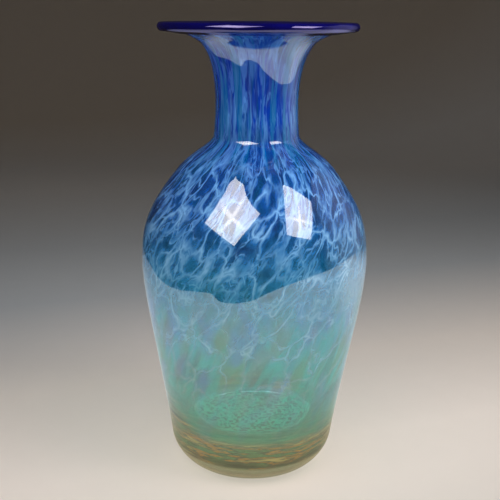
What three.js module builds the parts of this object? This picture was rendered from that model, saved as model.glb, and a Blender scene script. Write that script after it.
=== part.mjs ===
// Hand blown glass vase: a wide dished lip, a slim neck and a tapering body with a heavy base.
// Millimetres, +Z up. The origin is the centre of the foot, on the surface the vase stands on.
// Every piece is one gather of glass, a shell of revolution that lies against the next one.

import * as THREE from 'three';

const SEGMENTS = 40;
const GAP = 0.3;

// Outside of the vase: radius and height where one sweep of the outline meets the next.
const FOOT = [43, 0];
const HEEL = [67.4, 25.5];
const WIDEST = [90.7, 173];
const SHOULDER = [62.7, 246.6];
const COLLAR = [33.6, 273.8];
const MOUTH = [46, 346];
const LIP = [74, 354.5];

// Glass thickness on the walls, from the outside in.
const CASING = 1.4;
const COAT = 0.7;
const BUBBLE = 1.5;
const WALL = CASING + COAT + BUBBLE + 2 * GAP;

// Solid base: height and flat radius of the colour inside it and of the floor of the cavity.
// The pull says how squarely each of them turns up into the wall.
const COLOUR = { floor: 20, flat: 50, pull: 0.8 };
const CAVITY = { floor: 33, flat: 42, pull: 0.55 };

// Ground hollow under the base, left where the punty iron was cracked off.
const PONTIL_RADIUS = 27;
const PONTIL_DEPTH = 2.4;

// Coloured ring melted over the edge of the lip.
const WRAP = 1;
const WRAP_STATIONS = 3;

const CLEAR = { color: 0xe4f2f4, roughness: 0.03, opacity: 0.3 };
const COBALT = { color: 0x101a66, roughness: 0.04, opacity: 0.85 };
const BLUE = { color: 0x2456b4, roughness: 0.08, opacity: 0.7 };
const TEAL = { color: 0x3c8f96, roughness: 0.08, opacity: 0.7 };
const OLIVE = { color: 0x6b8557, roughness: 0.1, opacity: 0.7 };

// The outline, one curve for each sweep, starting at the centre of the foot.
function outlineCurves() {
  const path = new THREE.Path();
  path.moveTo(0, 0);
  path.lineTo(...FOOT);
  path.bezierCurveTo(54, 0, 65.6, 13, ...HEEL);
  path.bezierCurveTo(79.5, 108.4, 90.7, 144.3, ...WIDEST);
  path.bezierCurveTo(90.7, 205.3, 83.9, 218.7, ...SHOULDER);
  path.bezierCurveTo(52.9, 259.7, 34.8, 266.6, ...COLLAR);
  path.bezierCurveTo(30, 309.5, 34.5, 338, ...MOUTH);
  path.bezierCurveTo(52, 350, 62, 353.5, ...LIP);
  return path.curves;
}

// Points along a run of curves from the axis, each with the normal that faces the inside.
function stationsAlong(curves, steps) {
  const stations = [{ point: curves[0].getPoint(0), along: new THREE.Vector2(1, 0) }];
  curves.forEach((curve, index) => {
    for (let step = 1; step <= steps[index]; step += 1) {
      const t = step / steps[index];
      stations.push({ point: curve.getPoint(t), along: curve.getTangent(t) });
    }
  });
  for (const station of stations) {
    station.inward = new THREE.Vector2(-station.along.y, station.along.x);
  }
  return stations;
}

function offset(station, depth, slide = 0) {
  const at = station.point.clone();
  at.addScaledVector(station.inward, depth);
  at.addScaledVector(station.along, slide);
  return at;
}

const STEPS = [1, 5, 3, 5, 6, 6, 4];
const BASE_STEPS = [1, 7];
const OUTLINE = stationsAlong(outlineCurves(), STEPS);
const WALL_START = STEPS[0] + STEPS[1] + 1;

// A surface inside the glass: flat over the base, one curve up to the wall, then the wall.
function innerSurface(depth, { floor, flat, pull }) {
  const wall = OUTLINE.slice(WALL_START);
  const [first, ...rest] = wall.map((station) => ({ ...station, point: offset(station, depth) }));
  const path = new THREE.Path();
  path.moveTo(0, floor);
  path.lineTo(flat, floor);
  const shoulder = flat + pull * (first.point.x - flat);
  const reach = offset(first, 0, -pull * (first.point.y - floor));
  path.bezierCurveTo(shoulder, floor, reach.x, reach.y, first.point.x, first.point.y);
  return [...stationsAlong(path.curves, BASE_STEPS), ...rest];
}

const CASING_INSIDE = innerSurface(CASING, COLOUR);
const BUBBLE_INSIDE = innerSurface(WALL, CAVITY);
const OLIVE_END = BASE_STEPS[0] + BASE_STEPS[1] - 2;
const TEAL_END = BASE_STEPS[0] + BASE_STEPS[1] + STEPS[2] - 1;
const LAST = CASING_INSIDE.length - 1;

function lathe(name, profile, look) {
  const geometry = new THREE.LatheGeometry(profile, SEGMENTS);
  geometry.rotateX(Math.PI / 2);
  const material = new THREE.MeshStandardMaterial({ ...look, metalness: 0, transparent: true });
  const mesh = new THREE.Mesh(geometry, material);
  mesh.name = name;
  return mesh;
}

// Closed section between two surfaces: up the outer one, back down the inner one.
function section(outer, inner) {
  const profile = [...outer, ...inner.reverse()];
  if (profile[0].x > 0) {
    profile.push(profile[0].clone());
  }
  return profile;
}

const pointOf = (station) => station.point.clone();

function casing() {
  const hollow = [1, 0.75, 0.5, 0.25, 0].map((inset) => {
    const share = 1 - inset;
    return new THREE.Vector2(PONTIL_RADIUS * share, PONTIL_DEPTH * (1 - share * share));
  });
  const outer = [...hollow, ...OUTLINE.slice(1).map(pointOf)];
  return lathe('clear_casing', section(outer, CASING_INSIDE.map(pointOf)), CLEAR);
}

// One colour of crushed glass, rolled on between two stations of the inside of the casing.
function coat(name, start, end, look) {
  const slideAt = (index) => {
    if (index === start && start > 0) {
      return GAP / 2;
    }
    return index === end && end < LAST ? -GAP / 2 : 0;
  };
  const side = (depth) => CASING_INSIDE.slice(start, end + 1).map(
    (station, index) => offset(station, depth, slideAt(start + index)),
  );
  return lathe(name, section(side(GAP), side(GAP + COAT)), look);
}

function bubble() {
  const outer = CASING_INSIDE.map((station) => offset(station, COAT + 2 * GAP));
  return lathe('inner_bubble', section(outer, BUBBLE_INSIDE.map(pointOf)), CLEAR);
}

// A ring with a slot that holds the edge of the lip.
function lipWrap() {
  const gripped = OUTLINE.slice(-WRAP_STATIONS);
  const tip = gripped[gripped.length - 1];
  const under = gripped.map((station) => offset(station, -GAP - WRAP));
  const over = gripped.map((station) => offset(station, WALL + GAP + WRAP));
  const slotUnder = gripped.map((station) => offset(station, -GAP));
  const slotOver = gripped.map((station) => offset(station, WALL + GAP));
  slotUnder.push(offset(tip, -GAP, GAP));
  slotOver.push(offset(tip, WALL + GAP, GAP));

  const radius = WALL / 2 + GAP + WRAP;
  const bead = [];
  for (let degrees = -60; degrees <= 60; degrees += 30) {
    const turn = THREE.MathUtils.degToRad(degrees);
    bead.push(offset(tip, WALL / 2 + radius * Math.sin(turn), radius * Math.cos(turn)));
  }
  const outside = [...under, ...bead, ...over.reverse()];
  const slot = [...slotUnder, ...slotOver.reverse()];
  return lathe('lip_wrap', section(outside, slot), COBALT);
}

const vase = new THREE.Group();
vase.name = 'hand_blown_vase';
vase.add(
  casing(),
  coat('olive_base_coat', 0, OLIVE_END, OLIVE),
  coat('teal_body_coat', OLIVE_END, TEAL_END, TEAL),
  coat('blue_shoulder_coat', TEAL_END, LAST, BLUE),
  bubble(),
  lipWrap(),
);

export default vase;
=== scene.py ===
"""Hand blown glass vase: clear and coloured gathers, cobalt lip, studio table and lights."""

import math

import bpy
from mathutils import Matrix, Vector, noise


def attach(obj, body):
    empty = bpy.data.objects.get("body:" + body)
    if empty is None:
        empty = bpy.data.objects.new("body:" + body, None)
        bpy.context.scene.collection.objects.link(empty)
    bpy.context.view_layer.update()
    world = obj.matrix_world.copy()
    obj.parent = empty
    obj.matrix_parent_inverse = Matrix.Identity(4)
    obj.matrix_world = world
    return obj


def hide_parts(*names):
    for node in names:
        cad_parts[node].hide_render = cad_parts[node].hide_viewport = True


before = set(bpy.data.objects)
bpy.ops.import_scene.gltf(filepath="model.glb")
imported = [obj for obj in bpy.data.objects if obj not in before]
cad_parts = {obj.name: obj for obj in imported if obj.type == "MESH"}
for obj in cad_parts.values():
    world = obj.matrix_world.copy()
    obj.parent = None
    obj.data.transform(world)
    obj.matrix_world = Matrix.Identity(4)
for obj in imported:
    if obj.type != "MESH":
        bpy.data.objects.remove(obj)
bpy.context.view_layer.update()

MM = 0.001

# ---------------------------------------------------------------- outline, as in the CAD part
OUTLINE = [
    [(0, 0), (14, 0), (29, 0), (43, 0)],
    [(43, 0), (54, 0), (65.6, 13), (67.4, 25.5)],
    [(67.4, 25.5), (79.5, 108.4), (90.7, 144.3), (90.7, 173)],
    [(90.7, 173), (90.7, 205.3), (83.9, 218.7), (62.7, 246.6)],
    [(62.7, 246.6), (52.9, 259.7), (34.8, 266.6), (33.6, 273.8)],
    [(33.6, 273.8), (30, 309.5), (34.5, 338), (46, 346)],
    [(46, 346), (52, 350), (62, 353.5), (74, 354.5)],
]
ROWS = [16, 26, 57, 40, 36, 36, 16]
# stretch of the blown glass on each sweep: millimetres of finished wall for one grain of colour
GRAIN_LENGTH = [8.0, 9.0, 15.0, 24.0, 30.0, 40.0, 16.0]
# how far the grains were twisted round, in radians for each grain up the wall
TWIST = [0.0, -0.04, -0.07, -0.12, -0.05, 0.02, 0.0]
# the same for the ribbons that were trailed on at the end, round the heel
RIBBON_TWIST = 0.06
GRAINS_ROUND = 40
WALL = 4.2
# cavity: height and flat radius of its floor, height where it meets the wall, squareness of the turn
CAVITY_FLOOR, CAVITY_FLAT, CAVITY_TOP, CAVITY_PULL = 33.0, 42.0, 94.0, 0.55
PONTIL_RADIUS, PONTIL_DEPTH = 27.0, 2.4
WRAP_FROM = 57.0
WRAP_GAP, WRAP_SKIN = 0.3, 1.0
# sideways lean of the finished vase, for each millimetre of height
AXIS_LEAN = 0.0085
# hand-made ripple of the outside and inside wall, and the heights where it dies out below the lip
RIPPLE, INNER_RIPPLE, RIPPLES_PER_MM = 0.5, 0.3, 0.018
RIPPLE_END = (325, 345)
SEGMENTS = 192
# height and radius that the colours of the glass count as 1
TALL, WIDE = 360, 90
# radius, in the same units, of the painted highlight round the turn of the inside floor; the specks end just
# outside it
FLOOR_HIGHLIGHT_RADIUS = 47 / WIDE


def smoothstep(value, low, high):
    t = min(max((value - low) / (high - low), 0.0), 1.0)
    return t * t * (3 - 2 * t)


def bezier(p, t):
    a, b, c, d = (Vector(q) for q in p)
    s = 1 - t
    point = a * s ** 3 + b * (3 * s * s * t) + c * (3 * s * t * t) + d * t ** 3
    along = (b - a) * (s * s) + (c - b) * (2 * s * t) + (d - c) * (t * t)
    return point, along.normalized()


def grain_at(sweep, share):
    """Grain length part of the way up a sweep, eased towards the sweeps next to it."""
    other = min(sweep + 1, len(ROWS) - 1) if share > 0.5 else max(sweep - 1, 0)
    return GRAIN_LENGTH[sweep] + (GRAIN_LENGTH[other] - GRAIN_LENGTH[sweep]) * abs(share - 0.5)


class Station:
    """A point of the outline, its inward normal and its place on the unblown gather."""

    def __init__(self, point, along, grown, turned):
        self.point, self.along = point, along
        self.grown, self.turned = grown, turned
        self.inward = Vector((-along.y, along.x))

    def offset(self, depth, slide=0.0):
        return self.point + self.inward * depth + self.along * slide


def stations():
    out = []
    grown = turned = 0.0
    for sweep, (curve, rows) in enumerate(zip(OUTLINE, ROWS)):
        for row in range(1 if sweep else 0, rows + 1):
            point, along = bezier(curve, row / rows)
            if out:
                step = (point - out[-1].point).length / grain_at(sweep, row / rows)
                grown += step
                turned += step * TWIST[sweep]
            out.append(Station(point, along, grown, turned))
    return out


STATIONS = stations()
HEEL_GROWN = STATIONS[ROWS[0] + ROWS[1]].grown


def blown_place(grown, turned):
    """Where a point of the wall sat on the small round-ended gather before it was blown."""
    ring = GRAINS_ROUND / math.tau
    up = grown
    if grown < HEEL_GROWN:
        tilt = math.pi / 2 * (grown / HEEL_GROWN)
        up = HEEL_GROWN - ring * math.cos(tilt)
        ring *= math.sin(tilt)
    return Vector((ring * math.cos(turned), ring * math.sin(turned), up))


def revolve(name, rows, segments, closed, lean=0.0):
    """Mesh of revolution from rows of (radius, height, grown, turned, inside, ripple), millimetres.

    Its attributes are what the materials read: blow is the place on the unblown gather, where is
    (height, inside or outside, radius), and sweep follows the ribbons of the heel round.
    """
    verts, blow, where, sweep, faces = [], [], [], [], []
    index = []
    for r, z, grown, turned, inside, ripple in rows:
        ring = []
        for k in range(segments if r > 1e-6 else 1):
            a = math.tau * k / segments
            around = Vector((math.cos(a), math.sin(a), 0))
            spot = (around * r + Vector((0, 0, z))) * RIPPLES_PER_MM
            reach = r + noise.noise(spot + Vector((inside * 9, 3, 5))) * ripple
            ring.append(len(verts))
            verts.append(((around.x * reach + lean * z) * MM, around.y * reach * MM, z * MM))
            blow.append(blown_place(grown, a + turned))
            where.append((z / TALL, inside, r / WIDE))
            sweep.append((math.cos(a + RIBBON_TWIST * grown), math.sin(a + RIBBON_TWIST * grown), grown))
        index.append(ring)
    pairs = list(zip(index[:-1], index[1:]))
    if closed:
        pairs.append((index[-1], index[0]))
    for low, high in pairs:
        if len(low) == len(high) == 1:
            continue
        for k in range(segments):
            m = (k + 1) % segments
            if len(low) == 1:
                faces.append((low[0], high[m], high[k]))
            elif len(high) == 1:
                faces.append((low[k], low[m], high[0]))
            else:
                faces.append((low[k], low[m], high[m], high[k]))
    mesh = bpy.data.meshes.new(name)
    mesh.from_pydata(verts, [], faces)
    for label, values in (("blow", blow), ("where", where), ("sweep", sweep)):
        layer = mesh.attributes.new(label, "FLOAT_VECTOR", "POINT")
        layer.data.foreach_set("vector", [c for v in values for c in v])
    mesh.update()
    mesh.polygons.foreach_set("use_smooth", [True] * len(mesh.polygons))
    return add(name, mesh)


def add(name, data):
    obj = bpy.data.objects.new(name, data)
    bpy.context.scene.collection.objects.link(obj)
    return obj


def cavity_rows():
    """Inside of the vase from the centre of its floor to the lip."""
    wall = [s for s in STATIONS if s.point.y > CAVITY_TOP]
    start = wall[0]
    meet = start.offset(WALL)
    out_to = CAVITY_FLAT + CAVITY_PULL * (meet.x - CAVITY_FLAT)
    down = meet - start.along * (CAVITY_PULL * (meet.y - CAVITY_FLOOR))
    rows = [(CAVITY_FLAT * k / 14, CAVITY_FLOOR) for k in range(15)]
    turn = [(CAVITY_FLAT, CAVITY_FLOOR), (out_to, CAVITY_FLOOR), down, meet]
    rows += [tuple(bezier(turn, k / 30)[0]) for k in range(1, 30)]
    out = []
    for k, (r, z) in enumerate(rows):
        share = k / len(rows)
        ripple = INNER_RIPPLE * smoothstep(z, 45, 90)
        out.append((r, z, start.grown * share, start.turned * share, 1.0, ripple))
    for s in wall:
        r, z = s.offset(WALL)
        out.append((r, z, s.grown, s.turned, 1.0, INNER_RIPPLE * (1 - smoothstep(z, *RIPPLE_END))))
    return out


def wall_rows():
    """Whole skin of the vase: pontil hollow, outside wall up to the lip, and the cavity back down."""
    rows = []
    for step in range(9):
        share = step / 8
        rows.append((PONTIL_RADIUS * share, PONTIL_DEPTH * (1 - share * share), 0.0, 0.0, 0.0, 0.0))
    for s in STATIONS:
        r, z = s.point
        if r > PONTIL_RADIUS + 0.5:
            ripple = RIPPLE * smoothstep(z, 8, 60) * (1 - smoothstep(z, *RIPPLE_END))
            rows.append((r, z, s.grown, s.turned, 0.0, ripple))
    return rows + cavity_rows()[::-1]


def wrap_rows():
    """Ring of colour with a slot for the edge of the lip."""
    grip = [s for s in STATIONS if s.point.x > WRAP_FROM and s.point.y > 300]
    tip = grip[-1]
    radius = WALL / 2 + WRAP_GAP + WRAP_SKIN
    skin = [WRAP_GAP + WRAP_SKIN * smoothstep(k, -0.5, 3) for k in range(len(grip))]
    points = [(s.offset(-t), s.grown) for s, t in zip(grip, skin)]
    for degrees in range(-80, 81, 10):
        turn = math.radians(degrees)
        edge = tip.offset(WALL / 2 + radius * math.sin(turn), radius * math.cos(turn))
        points.append((edge, tip.grown + 0.2))
    points += [(s.offset(WALL + t), s.grown) for s, t in zip(grip[::-1], skin[::-1])]
    slot = WRAP_GAP * 0.9
    points += [(s.offset(WALL + slot), s.grown) for s in grip]
    points += [(tip.offset(WALL + slot, WRAP_GAP), tip.grown), (tip.offset(-slot, WRAP_GAP), tip.grown)]
    points += [(s.offset(-slot), s.grown) for s in grip[::-1]]
    return [(p.x, p.y, grown, tip.turned, 0.0, 0.0) for p, grown in points]


# ---------------------------------------------------------------- node helpers
class Graph:
    def __init__(self, name):
        self.mat = bpy.data.materials.new(name)
        self.mat.use_nodes = True
        self.tree = self.mat.node_tree
        self.tree.nodes.clear()

    def node(self, kind, **settings):
        n = self.tree.nodes.new(kind)
        for key, value in settings.items():
            setattr(n, key, value)
        return n

    def put(self, socket, value):
        if isinstance(value, bpy.types.NodeSocket):
            self.tree.links.new(value, socket)
        elif isinstance(value, (tuple, list)) and len(value) == 3 and len(socket.default_value) == 4:
            socket.default_value = (*value, 1)
        else:
            socket.default_value = value

    def math(self, op, a, b=0.0, c=0.0):
        n = self.node("ShaderNodeMath", operation=op)
        self.put(n.inputs[0], a)
        self.put(n.inputs[1], b)
        self.put(n.inputs[2], c)
        return n.outputs[0]

    def times(self, *factors):
        out = factors[0]
        for factor in factors[1:]:
            out = self.math("MULTIPLY", out, factor)
        return out

    def vmath(self, op, a, b=(0, 0, 0), scale=None):
        n = self.node("ShaderNodeVectorMath", operation=op)
        self.put(n.inputs[0], a)
        self.put(n.inputs[1], b)
        if scale is not None:
            self.put(n.inputs["Scale"], scale)
        return n.outputs[0]

    def attribute(self, name):
        n = self.node("ShaderNodeAttribute", attribute_name=name)
        return n.outputs["Vector"]

    def place(self):
        """Position in the object's own axes."""
        return self.node("ShaderNodeTexCoord").outputs["Object"]

    def split(self, vector):
        n = self.node("ShaderNodeSeparateXYZ")
        self.put(n.inputs[0], vector)
        return n.outputs

    def noise(self, vector, scale, detail=2.0, roughness=0.5, output="Fac"):
        n = self.node("ShaderNodeTexNoise")
        self.put(n.inputs["Vector"], vector)
        n.inputs["Scale"].default_value = scale
        n.inputs["Detail"].default_value = detail
        n.inputs["Roughness"].default_value = roughness
        return n.outputs[output]

    def edges(self, vector, scale):
        n = self.node("ShaderNodeTexVoronoi", feature="DISTANCE_TO_EDGE")
        self.put(n.inputs["Vector"], vector)
        n.inputs["Scale"].default_value = scale
        return n.outputs["Distance"]

    def span(self, value, low, high, to_low=0.0, to_high=1.0, smooth=True):
        n = self.node("ShaderNodeMapRange")
        n.interpolation_type = "SMOOTHSTEP" if smooth else "LINEAR"
        self.put(n.inputs["Value"], value)
        self.put(n.inputs["From Min"], low)
        self.put(n.inputs["From Max"], high)
        self.put(n.inputs["To Min"], to_low)
        self.put(n.inputs["To Max"], to_high)
        return n.outputs["Result"]

    def mix(self, fac, a, b, blend="MIX"):
        n = self.node("ShaderNodeMix", data_type="RGBA", blend_type=blend)
        self.put(n.inputs[0], fac)
        self.put(n.inputs[6], a)
        self.put(n.inputs[7], b)
        return n.outputs[2]

    def ramp(self, fac, stops, interpolation="LINEAR"):
        n = self.node("ShaderNodeValToRGB")
        n.color_ramp.interpolation = interpolation
        elements = n.color_ramp.elements
        while len(elements) < len(stops):
            elements.new(0.5)
        for element, (place, colour) in zip(elements, stops):
            element.position = place
            element.color = (*colour, 1)
        self.put(n.inputs["Fac"], fac)
        return n.outputs["Color"]

    def finish(self, shader):
        out = self.node("ShaderNodeOutputMaterial")
        self.tree.links.new(shader, out.inputs["Surface"])
        return self.mat


def glass_output(g, principled, shade):
    """Glass that lets lamp rays through with a tint, so that what is inside is lit."""
    clear = g.node("ShaderNodeBsdfTransparent")
    g.put(clear.inputs["Color"], shade)
    light = g.node("ShaderNodeLightPath")
    mixer = g.node("ShaderNodeMixShader")
    g.put(mixer.inputs["Fac"], light.outputs["Is Shadow Ray"])
    g.tree.links.new(principled.outputs[0], mixer.inputs[1])
    g.tree.links.new(clear.outputs[0], mixer.inputs[2])
    return g.finish(mixer.outputs[0])


def srgb(*channels):
    out = []
    for c in channels:
        c = c / 255
        out.append(c / 12.92 if c <= 0.04045 else ((c + 0.055) / 1.055) ** 2.4)
    return tuple(out)


def grey(stops):
    return [(place, (value,) * 3) for place, value in stops]


# ---------------------------------------------------------------- glass
# Colours up the vase, each (height as a share of the whole, colour): the cells between the
# lines of the web, the soft glow round the lines, and the lines themselves.
CELL = [
    (0.00, srgb(110, 150, 100)),
    (0.07, srgb(105, 160, 110)),
    (0.13, srgb(10, 212, 165)),
    (0.25, srgb(4, 212, 188)),
    (0.38, srgb(2, 205, 220)),
    (0.47, srgb(22, 132, 172)),
    (0.56, srgb(8, 70, 115)),
    (0.66, srgb(2, 54, 120)),
    (0.73, srgb(0, 46, 125)),
    (0.80, srgb(0, 68, 196)),
    (0.96, srgb(0, 60, 186)),
]
GLOW = [
    (0.00, srgb(120, 150, 95)),
    (0.13, srgb(50, 200, 160)),
    (0.28, srgb(35, 190, 205)),
    (0.40, srgb(35, 180, 228)),
    (0.50, srgb(66, 170, 234)),
    (0.62, srgb(22, 102, 196)),
    (0.75, srgb(10, 80, 178)),
    (0.80, srgb(105, 180, 255)),
    (0.92, srgb(100, 168, 255)),
]
WEB = [
    (0.00, srgb(165, 165, 110)),
    (0.12, srgb(140, 190, 165)),
    (0.28, srgb(168, 214, 245)),
    (0.45, srgb(150, 214, 250)),
    (0.60, srgb(145, 202, 255)),
    (0.75, srgb(112, 180, 255)),
    (0.90, srgb(115, 165, 250)),
]
# share of the light that the colour stops, for cells, glow and lines
CELL_DENSE = [
    (0.0, 0.3), (0.1, 0.2), (0.2, 0.24), (0.3, 0.32), (0.42, 0.32), (0.5, 0.25), (0.6, 0.2), (0.7, 0.42),
    (0.8, 0.86), (1.0, 0.86)]
GLOW_DENSE = [
    (0.0, 0.4), (0.12, 0.28), (0.3, 0.24), (0.42, 0.34), (0.5, 0.5), (0.7, 0.65), (0.85, 0.75), (1.0, 0.8)]
WEB_DENSE = [(0.0, 0.5), (0.15, 0.4), (0.3, 0.6), (0.45, 0.75), (0.7, 0.85), (1.0, 0.85)]


def web_lines(g, place, scale, brush, narrow, reach):
    """Soft lines between cells, brushed thick and thin, and the glow that fades out from them."""
    edge = g.edges(place, scale)
    width = g.span(brush, 0.35, 0.65, narrow, narrow * 3)
    core = g.math("POWER", g.math("SUBTRACT", 1.0, g.span(edge, 0.0, width, smooth=False)), 1.3)
    return core, g.math("SUBTRACT", 1.0, g.span(edge, 0.0, reach))


def frit(g, blow, height):
    """Lines of crushed colour, and the softer colour between them, each from 0 to 1."""
    drift = g.vmath("SUBTRACT", g.noise(blow, 0.7, 2.0, 0.5, "Color"), (0.5, 0.5, 0.5))
    fray = g.vmath("SUBTRACT", g.noise(blow, 2.6, 2.0, 0.55, "Color"), (0.5, 0.5, 0.5))
    eased = g.vmath("ADD", blow, g.vmath("SCALE", drift, scale=1.9))
    bent = g.vmath("ADD", eased, g.vmath("SCALE", fray, scale=0.42))
    drawn = g.vmath("MULTIPLY", bent, (1, 1, 0.34))
    brush = g.noise(drawn, 2.2, 4.0, 0.62)
    strands = g.noise(drawn, 4.6, 4.0, 0.62)
    core, glow = web_lines(g, bent, 0.86, brush, 0.07, 0.42)
    fine, fine_glow = web_lines(g, g.vmath("ADD", bent, (7.3, 2.1, 4.4)), 1.55, strands, 0.06, 0.34)
    wide, wide_glow = web_lines(g, g.vmath("ADD", eased, (1.3, 5.1, 9.4)), 0.55, brush, 0.05, 0.36)
    flare = g.span(g.noise(blow, 0.9, 2.0), 0.35, 0.65, 0.35, 1.0)
    some = g.span(g.noise(blow, 1.1, 2.0), 0.40, 0.6, 0.0, 0.75)

    upper = g.ramp(height, grey([(0.30, 0.0), (0.40, 0.3), (0.49, 1.0), (1.0, 1.0)]))
    lower = g.ramp(height, grey([
        (0.15, 0.0), (0.23, 0.45), (0.31, 1.0), (0.42, 1.0), (0.50, 0.3), (0.56, 0.0)]))
    streaks = g.ramp(height, grey([(0.68, 0.0), (0.75, 0.6), (0.79, 1.0), (1.0, 1.0)]))

    web = g.math("MAXIMUM", g.math("MULTIPLY", core, flare), g.math("MULTIPLY", fine, some))
    web = g.times(web, upper, g.math("SUBTRACT", 1.0, g.times(streaks, 0.75)))
    web = g.math("MAXIMUM", web, g.times(wide, flare, lower, 0.8))

    soft = g.math("MULTIPLY", g.span(strands, 0.34, 0.64), 0.45)
    soft = g.math("MULTIPLY_ADD", glow, g.span(brush, 0.3, 0.6, 0.35, 0.75), soft)
    soft = g.math("MULTIPLY_ADD", g.math("MULTIPLY", fine_glow, some), 0.4, soft)
    soft = g.math("MULTIPLY", g.math("MINIMUM", soft, 1.0), upper)
    haze = g.times(g.span(g.noise(blow, 1.0, 2.0), 0.35, 0.65), 0.3)
    veil = g.math("MULTIPLY_ADD", wide_glow, 0.9, haze)
    soft = g.math("MAXIMUM", soft, g.math("MULTIPLY", veil, lower))
    pulled = g.vmath("MULTIPLY", eased, (0.8, 0.8, 0.55))
    strokes = g.math("MULTIPLY_ADD", g.span(g.noise(pulled, 1.15, 3.0, 0.6), 0.50, 0.61), 0.6,
                     g.math("MULTIPLY", g.span(g.noise(pulled, 2.5, 3.0, 0.6), 0.51, 0.60), 0.5))
    soft = g.math("ADD", g.times(soft, g.math("SUBTRACT", 1.0, streaks)), g.times(strokes, streaks))
    return web, g.math("MINIMUM", soft, 1.0)


def patch(g, place, shift, scale, low, high):
    """Soft blotches of one colour, 0 to 1."""
    return g.span(g.noise(g.vmath("ADD", place, shift), scale, 1.5, 0.5), low, high)


def wall_colour(g, blow, height):
    web, soft = frit(g, blow, height)
    cell, cell_dense = g.ramp(height, CELL), g.ramp(height, grey(CELL_DENSE))

    # cells drift from teal to violet on the shoulder and neck
    curtain = g.vmath("MULTIPLY", blow, (1, 1, 0.42))
    high = g.ramp(height, grey([(0.40, 0.0), (0.52, 1.0), (1.0, 1.0)]))
    violet = g.times(patch(g, blow, (5, 3, 8), 0.8, 0.5, 0.62), high, 0.6)
    cell = g.mix(violet, cell, srgb(40, 62, 145))
    deep_teal = g.times(patch(g, blow, (2, 9, 1), 0.9, 0.5, 0.62), high, 0.5)
    cell = g.mix(deep_teal, cell, srgb(4, 92, 122))

    colour = g.mix(soft, cell, g.ramp(height, GLOW))
    dense = g.mix(soft, cell_dense, g.ramp(height, grey(GLOW_DENSE)))

    # teal strokes among the blue ones of the neck
    neck = g.ramp(height, grey([(0.66, 0.0), (0.76, 0.65), (1.0, 0.65)]))
    teal = g.math("MULTIPLY", patch(g, curtain, (6, 2, 7), 1.1, 0.5, 0.58), neck)
    colour = g.mix(teal, colour, srgb(12, 128, 188))

    # teal, olive, violet and amber curtains low on the body
    low = g.ramp(height, grey([(0.08, 0.2), (0.20, 0.35), (0.27, 1.0), (0.37, 1.0), (0.46, 0.0)]))
    for shift, scale, tint, share, stop in (
            ((3, 7, 5), 0.85, srgb(30, 138, 135), 0.7, 0.45),
            ((8, 1, 4), 0.75, srgb(105, 165, 95), 0.6, 0.38),
            ((11, 4, 2), 0.9, srgb(72, 142, 235), 0.7, 0.45),
            ((1, 12, 6), 1.1, srgb(150, 128, 78), 0.35, 0.35)):
        blotch = g.times(patch(g, curtain, shift, scale, 0.5, 0.66), low, share)
        colour = g.mix(blotch, colour, tint)
        dense = g.mix(blotch, dense, (stop,) * 3)

    colour = g.mix(web, colour, g.ramp(height, WEB))
    dense = g.mix(web, dense, g.ramp(height, grey(WEB_DENSE)))
    return colour, dense


def towards(g, sweep, bearing):
    """How far round to one bearing of the ribbons a point is: 1 there, -1 on the far side."""
    a = math.radians(bearing)
    turn = g.split(sweep)
    return g.math("MULTIPLY_ADD", turn[0], math.cos(a), g.times(turn[1], math.sin(a)))


def heel_colour(g, sweep, height, colour, dense):
    """Amber and olive sweeps round the heel, dark lines low on the heel and foot with a painted contact
    shade at the very bottom, and the clear foot.
    """
    ribbon = g.noise(g.vmath("MULTIPLY", sweep, (0.6, 0.6, 1.15)), 1.9, 3.0, 0.6)
    shade = g.ramp(ribbon, [
        (0.37, srgb(25, 22, 8)), (0.42, srgb(105, 122, 45)), (0.455, srgb(88, 150, 80)),
        (0.49, srgb(72, 58, 20)), (0.53, srgb(212, 150, 62)), (0.57, srgb(62, 84, 25)),
        (0.62, srgb(222, 196, 110))])
    across = towards(g, sweep, 37)
    risen = g.math("MULTIPLY_ADD", g.span(across, -0.95, -0.5, 1.0, 0.0), -0.07, height)
    heel = g.ramp(risen, grey([(0.0, 1.0), (0.1, 1.0), (0.135, 0.25), (0.17, 0.0)]))
    colour = g.mix(g.math("MULTIPLY", heel, 0.9), colour, shade)
    dense = g.mix(g.math("MULTIPLY", heel, 0.9), dense, g.span(ribbon, 0.3, 0.7, 0.85, 0.5, False))
    # dark lines low on the heel and foot, and at the very bottom, where the foot meets the table, a painted
    # dark contact shade
    dark_lines_and_contact_shade = g.ramp(height, grey([
        (0.0, 1.0), (0.006, 0.8), (0.012, 0.0), (0.029, 0.0), (0.034, 0.5), (0.039, 0.0), (0.049, 0.0),
        (0.056, 1.0), (0.062, 1.0), (0.073, 0.0)]))
    dark_lines_and_contact_shade = g.math("MULTIPLY", dark_lines_and_contact_shade, g.span(g.noise(sweep, 2.5, 3.0), 0.35, 0.6, 0.25, 0.85))
    foot = g.math("SUBTRACT", 1.0, g.span(height, 0.046, 0.054))
    colour = g.mix(foot, colour, srgb(200, 184, 135))
    dense = g.mix(foot, dense, (0.35,) * 3)
    return g.mix(dark_lines_and_contact_shade, colour, srgb(58, 52, 30)), g.mix(dark_lines_and_contact_shade, dense, (0.8,) * 3)


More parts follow.
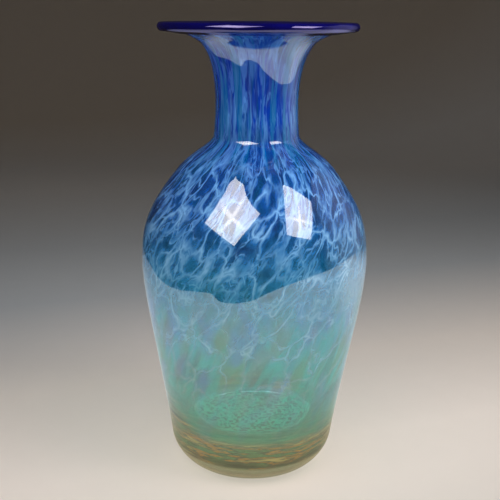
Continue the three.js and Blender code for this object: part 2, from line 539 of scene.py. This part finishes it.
def floor_colour(g, blow, sweep, height, radius):
    """Inside of the glass: a clear wall, and on the floor specks swirled inside a painted highlight, a
    bright arc round the turn of the floor that is strongest at the back.
    """
    swirl = g.vmath("MULTIPLY", sweep, (2.2, 2.2, 0.75))
    crumb = g.math("MULTIPLY_ADD", g.noise(swirl, 3.4, 3.0, 0.65), 0.5,
                   g.math("MULTIPLY", g.noise(g.vmath("ADD", blow, (3.1, 1.7, 0.4)), 3.0, 3.0, 0.65), 0.5))
    crumb = g.span(crumb, 0.49, 0.525)
    tone = g.mix(g.span(g.noise(blow, 1.3, 2.0), 0.4, 0.6), srgb(0, 22, 25), srgb(62, 44, 6))
    bed_colour = g.mix(crumb, srgb(90, 210, 175), tone)
    bed_dense = g.math("MULTIPLY_ADD", crumb, 0.47, 0.5)
    low = g.math("SUBTRACT", 1.0, g.span(height, 0.13, 0.16))
    bed = g.times(low, g.span(radius, FLOOR_HIGHLIGHT_RADIUS + 0.005, FLOOR_HIGHLIGHT_RADIUS + 0.075, 1.0, 0.0))
    # painted highlight: a near-white arc round the turn of the floor, broken by noise and faint except at
    # the back, in place of the lamps' reflection there
    ring = g.span(g.math("ABSOLUTE", g.math("SUBTRACT", radius, FLOOR_HIGHLIGHT_RADIUS)), 0.005, 0.016, 1.0, 0.0)
    behind = g.span(towards(g, sweep, 113), 0.72, 0.92, 0.12, 1.0)
    ring = g.times(ring, low, behind, g.span(g.noise(sweep, 2.6, 3.0), 0.42, 0.50))
    # the painted highlight is laid over the specks and the clear wall
    colour = g.mix(ring, g.mix(bed, (0.97, 0.99, 1.0), bed_colour), srgb(240, 255, 255))
    return colour, g.math("MAXIMUM", g.math("MULTIPLY", bed, bed_dense), g.math("MULTIPLY", ring, 0.95))


def fire_polish(p, roughness):
    p.inputs["Roughness"].default_value = roughness
    p.inputs["IOR"].default_value = 1.5
    p.inputs["Thin Film IOR"].default_value = 1.9
    p.inputs["Thin Film Thickness"].default_value = 75.0


def vase_glass():
    g = Graph("blown_glass")
    blow = g.attribute("blow")
    sweep = g.attribute("sweep")
    height, inside, radius = g.split(g.attribute("where"))

    colour, dense = wall_colour(g, blow, height)
    colour, dense = heel_colour(g, sweep, height, colour, dense)
    inner_colour, inner_dense = floor_colour(g, blow, sweep, height, radius)
    p = g.node("ShaderNodeBsdfPrincipled")
    g.put(p.inputs["Base Color"], g.mix(inside, colour, inner_colour))
    g.put(p.inputs["Transmission Weight"], g.math("SUBTRACT", 1.0, g.mix(inside, dense, inner_dense)))
    fire_polish(p, 0.02)
    return glass_output(g, p, (0.94, 0.97, 0.97))


def cobalt_glass():
    g = Graph("cobalt_glass")
    swirl = g.noise(g.attribute("blow"), 1.2, 2.0)
    p = g.node("ShaderNodeBsdfPrincipled")
    g.put(p.inputs["Base Color"], g.mix(swirl, srgb(0, 0, 70), srgb(8, 8, 105)))
    p.inputs["Transmission Weight"].default_value = 0.35
    p.inputs["Specular Tint"].default_value = (0.6, 0.5, 1, 1)
    fire_polish(p, 0.03)
    return glass_output(g, p, (0.3, 0.32, 0.6))


# ---------------------------------------------------------------- pieces
def piece(name, rows, closed, material, slot, *nodes):
    obj = revolve(name, rows, SEGMENTS, closed, AXIS_LEAN)
    obj.data.materials.append(material)
    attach(obj, "root")
    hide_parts(*nodes)


piece("vase_body", wall_rows(), False, vase_glass(), "clear_glass",
      "clear_casing", "inner_bubble", "olive_base_coat", "teal_body_coat", "blue_shoulder_coat")
piece("lip_ring", wrap_rows(), True, cobalt_glass(), "cobalt_glass", "lip_wrap")


# ---------------------------------------------------------------- stage
# tones of the backdrop by distance behind the vase in metres: the paper's own grading with painted light and
# shade in it, darker at the front edge, with lighter and darker bands further back
SHADED, WARM, COOL = (0.60, 0.55, 0.50), (0.87, 0.775, 0.70), (0.58, 0.60, 0.62)
PALE, TAN = (0.77, 0.75, 0.73), (0.65, 0.58, 0.50)
PAPER_AND_PAINTED_LIGHT = [
    (-0.2, SHADED), (0.0, WARM), (0.2, WARM), (0.5, COOL), (0.8, COOL), (1.3, PALE), (1.6, PALE), (2.0, TAN),
    (2.6, TAN)]


def paper():
    g = Graph("backdrop_paper")
    p = g.node("ShaderNodeBsdfPrincipled")
    position = g.node("ShaderNodeNewGeometry").outputs["Position"]
    across, behind, _ = g.split(position)
    # the tones slant across, so the left side darkens sooner and the right stays bright further back:
    # painted fall-off of the lamps' light
    behind = g.math("MULTIPLY_ADD", across, -0.37, behind)
    near, far = PAPER_AND_PAINTED_LIGHT[0][0], PAPER_AND_PAINTED_LIGHT[-1][0]
    tone = g.ramp(g.span(behind, near, far, smooth=False),
                  [((distance - near) / (far - near), tint) for distance, tint in PAPER_AND_PAINTED_LIGHT])
    fibres = g.noise(position, 40.0, 3.0)
    g.put(p.inputs["Base Color"], g.mix(fibres, tone, g.vmath("SCALE", tone, scale=1.03)))
    p.inputs["Roughness"].default_value = 0.9
    p.inputs["Specular IOR Level"].default_value = 0.05
    return g.finish(p.outputs[0])


# the sweep, in millimetres: its surface under the foot, where it starts to rise, the radius of the
# rise and the height of the wall
SWEEP_TOP, SWEEP_FLAT, SWEEP_BEND, SWEEP_WALL = -0.6, 1500, 1100, 3200


def backdrop():
    """Round table that sweeps up into the wall behind."""
    rows = [(r, SWEEP_TOP) for r in (0, 120, 300, 600, 1000, SWEEP_FLAT)]
    for k in range(1, 13):
        a = math.pi / 2 * k / 12
        rows.append((SWEEP_FLAT + SWEEP_BEND * math.sin(a), SWEEP_TOP + SWEEP_BEND * (1 - math.cos(a))))
    rows.append((SWEEP_FLAT + SWEEP_BEND, SWEEP_WALL))
    obj = revolve("studio_sweep", [(r, z, 0, 0, 0, 0) for r, z in rows], 96, False)
    obj.data.materials.append(paper())
    obj.visible_glossy = False


def reflected(name, verts, faces, material):
    """A glowing card that shows only in the gloss of the glass."""
    mesh = bpy.data.meshes.new(name)
    mesh.from_pydata(verts, [], faces)
    mesh.materials.append(material)
    obj = add(name, mesh)
    for kind in ("camera", "diffuse", "transmission", "shadow", "volume_scatter"):
        setattr(obj, "visible_" + kind, False)
    return obj


def glow(name, colour, strength):
    g = Graph(name)
    e = g.node("ShaderNodeEmission")
    g.put(e.inputs["Color"], colour(g) if callable(colour) else colour)
    g.put(e.inputs["Strength"], strength(g) if callable(strength) else strength)
    return g.finish(e.outputs[0])


def lamp(name, place, target, size, power, roll=0.0):
    data = bpy.data.lights.new(name, "AREA")
    data.shape = "RECTANGLE"
    data.size, data.size_y = size
    data.energy = power
    obj = add(name, data)
    obj.location = place
    obj.rotation_euler = (Vector(target) - Vector(place)).to_track_quat("-Z", "Y").to_euler()
    obj.rotation_euler.rotate_axis("Z", math.radians(roll))
    obj.visible_camera = False
    obj.visible_glossy = False
    obj.visible_transmission = False
    return obj


# what the lamps point at, and how bright the softbox fronts are in the gloss and as lamps
SHOULDER = (0, -0.07, 0.225)
RADIANCE = 3.5
LAMP_RADIANCE = 3.85


def sagging(corners, pulls, steps):
    """Outline with sides bent from corner to corner, each drawn halfway to its own pull point."""
    out = []
    for k, pull in enumerate(pulls):
        a, c = Vector(corners[k]), Vector(corners[(k + 1) % len(corners)])
        b = Vector(pull)
        for step in range(steps):
            t = step / steps
            out.append(tuple(a * (1 - t) ** 2 + b * (2 * t * (1 - t)) + c * t * t))
    return out


def softbox(name, place, size, roll, corners, pulls):
    """Area lamp, and its cloth front, which sags between the rods and shows a brighter cross."""
    x, y = size[0] / 2, size[1] / 2

    def strength(g):
        u, v, _ = g.split(g.place())
        across = g.math("ABSOLUTE", g.math("DIVIDE", u, x))
        along = g.math("ABSOLUTE", g.math("DIVIDE", v, y))
        far = g.math("SQRT", g.math("ADD", g.times(across, across), g.times(along, along)))
        bars = g.math("MAXIMUM", g.span(across, 0.02, 0.12, 1.0, 0.0), g.span(along, 0.02, 0.12, 1.0, 0.0))
        bars = g.times(bars, g.span(far, 0.2, 1.0, 1.0, 0.1))
        level = g.math("MULTIPLY_ADD", g.span(far, 0.0, 1.1, 1.0, 0.0), 0.2, 0.8)
        return g.times(g.math("MULTIPLY_ADD", bars, 0.6, level), RADIANCE)

    key = lamp(name, place, SHOULDER, size, LAMP_RADIANCE * math.pi * size[0] * size[1], roll)
    rim = sagging(corners, pulls, 6)
    front = reflected(name + "_front", [(u, v, 0) for u, v in rim], [tuple(range(len(rim)))],
                      glow(name + "_front", (1, 0.93, 0.95), strength))
    front.location = place
    front.rotation_euler = key.rotation_euler


backdrop()
softbox("key_left", (-0.279, -0.472, 0.747), (0.57, 0.59), -21,
        corners=[(-0.29, 0.29), (0.25, 0.29), (0.30, -0.30), (-0.28, -0.24), (-0.25, 0.0)],
        pulls=[(-0.14, 0.13), (0.26, 0.04), (0.02, -0.26), (-0.26, -0.12), (-0.175, 0.135)])
softbox("key_right", (0.504, -0.361, 0.657), (0.345, 0.41), -34,
        corners=[(-0.17, 0.21), (0.185, 0.20), (0.165, -0.20), (-0.16, -0.21)],
        pulls=[(0.02, 0.205), (0.155, 0.0), (0.0, -0.225), (-0.195, 0.0)])
lamp("top_fill", (0.28, -0.18, 0.68), (0.28, -0.18, 0.0), (0.3, 0.3), 2.4)


def bearing_strength(stops):
    """Brightness of a wall by its bearing from the camera side, 0 to 180 degrees to either hand."""
    def strength(g):
        x, y, _ = g.split(g.place())
        turn = g.math("ARCTAN2", g.math("ABSOLUTE", x), g.times(y, -1.0))
        levels = grey([(degrees / 180, level) for degrees, level in stops])
        return g.ramp(g.math("DIVIDE", turn, math.pi), levels)
    return strength


# pale wall of the room to the right of the table: radius, foot and top, in metres
WALL_AWAY, WALL_FOOT, WALL_TOP = 1.5, -0.1, 1.45


def wall_card(name, first, last, colour, stops):
    """Curved wall beside the table, between two bearings in degrees."""
    rows = []
    for k in range(25):
        turn = math.radians(first + (last - first) * k / 24)
        x, y = WALL_AWAY * math.sin(turn), -WALL_AWAY * math.cos(turn)
        rows += [(x, y, WALL_FOOT), (x, y, WALL_TOP)]
    reflected(name, rows, [(2 * k, 2 * k + 2, 2 * k + 3, 2 * k + 1) for k in range(24)],
              glow(name, colour, bearing_strength(stops)))


wall_card("right_wall", 66, 150, (0.84, 0.84, 1.0), [(68, 0.0), (92, 0.32), (125, 0.38), (150, 0.0)])


def far_from_foot(g):
    away = g.node("ShaderNodeVectorMath", operation="LENGTH")
    g.put(away.inputs[0], g.place())
    return g.span(away.outputs["Value"], 0.07, 0.16)


def table_tint(g):
    return g.mix(far_from_foot(g), (1.0, 0.90, 0.66), (0.90, 0.96, 0.98))


def table_strength(g):
    """Dimmer to the back, on the left and round the foot, brighter on the right behind the vase."""
    x, y, _ = g.split(g.place())
    behind = g.ramp(g.span(y, -0.7, 0.8, smooth=False), grey(
        [(0.0, 0.95), (0.33, 0.9), (0.47, 0.85), (0.60, 0.75), (0.73, 0.6), (0.84, 0.35), (0.95, 0.1)]))
    near = g.math("MULTIPLY_ADD", far_from_foot(g), 0.42, 0.58)
    right = g.times(g.span(x, 0.15, 0.5, 0.0, 0.75), g.span(y, -0.1, 0.15))
    left = g.span(x, -0.5, -0.22, 0.8, 1.0)
    return g.times(behind, near, g.math("ADD", right, left))


def rounded(corners, steps):
    """Closed curve that passes through the corners."""
    out = []
    for k in range(len(corners)):
        a, b, c, d = (Vector(corners[(k + j) % len(corners)]) for j in (-1, 0, 1, 2))
        for step in range(steps):
            t = step / steps
            out.append(tuple(0.5 * (2 * b + (c - a) * t + (2 * a - 5 * b + 4 * c - d) * t * t
                                    + (3 * b - a - 3 * c + d) * t ** 3)))
    return out


# the lit table as the gloss of the glass shows it: its front edge runs in a shallow bay from the
# left corner, then slants forward to the right
TABLE = rounded([
    (-0.57, 0.50), (-0.52, -0.15), (-0.38, -0.41), (-0.20, -0.37), (0.0, -0.45), (0.20, -0.585),
    (0.60, -0.61), (1.05, -0.35), (1.20, 0.40), (0.40, 1.20)], 8)
TABLE_HEIGHT = -0.0003
reflected("table_glow", [(x, y, TABLE_HEIGHT) for x, y in TABLE], [tuple(range(len(TABLE)))],
          glow("table_glow", table_tint, table_strength))

world = bpy.data.worlds.new("studio_air")
bpy.context.scene.world = world
world.use_nodes = True
world.node_tree.nodes["Background"].inputs["Color"].default_value = (1.0, 0.83, 0.68, 1)
world.node_tree.nodes["Background"].inputs["Strength"].default_value = 0.025

# ---------------------------------------------------------------- camera
# metres and degrees: distance in front of the axis, height, look down, turn to the left, and the
# roll that makes up the rest of the lean
DISTANCE, EYE, LOOK_DOWN, TURN, ROLL = 0.700, 0.368, 15.017, 0.17, 0.45
cam_data = bpy.data.cameras.new("camera")
cam_data.sensor_width = 36
cam_data.lens = 64.122
cam = add("camera", cam_data)
cam.location = (0, -DISTANCE, EYE)
cam.rotation_euler = (math.radians(90 - LOOK_DOWN), 0, math.radians(TURN))
cam.rotation_euler.rotate_axis("Z", math.radians(ROLL))
bpy.context.scene.camera = cam
bpy.context.scene.view_settings.view_transform = "Standard"
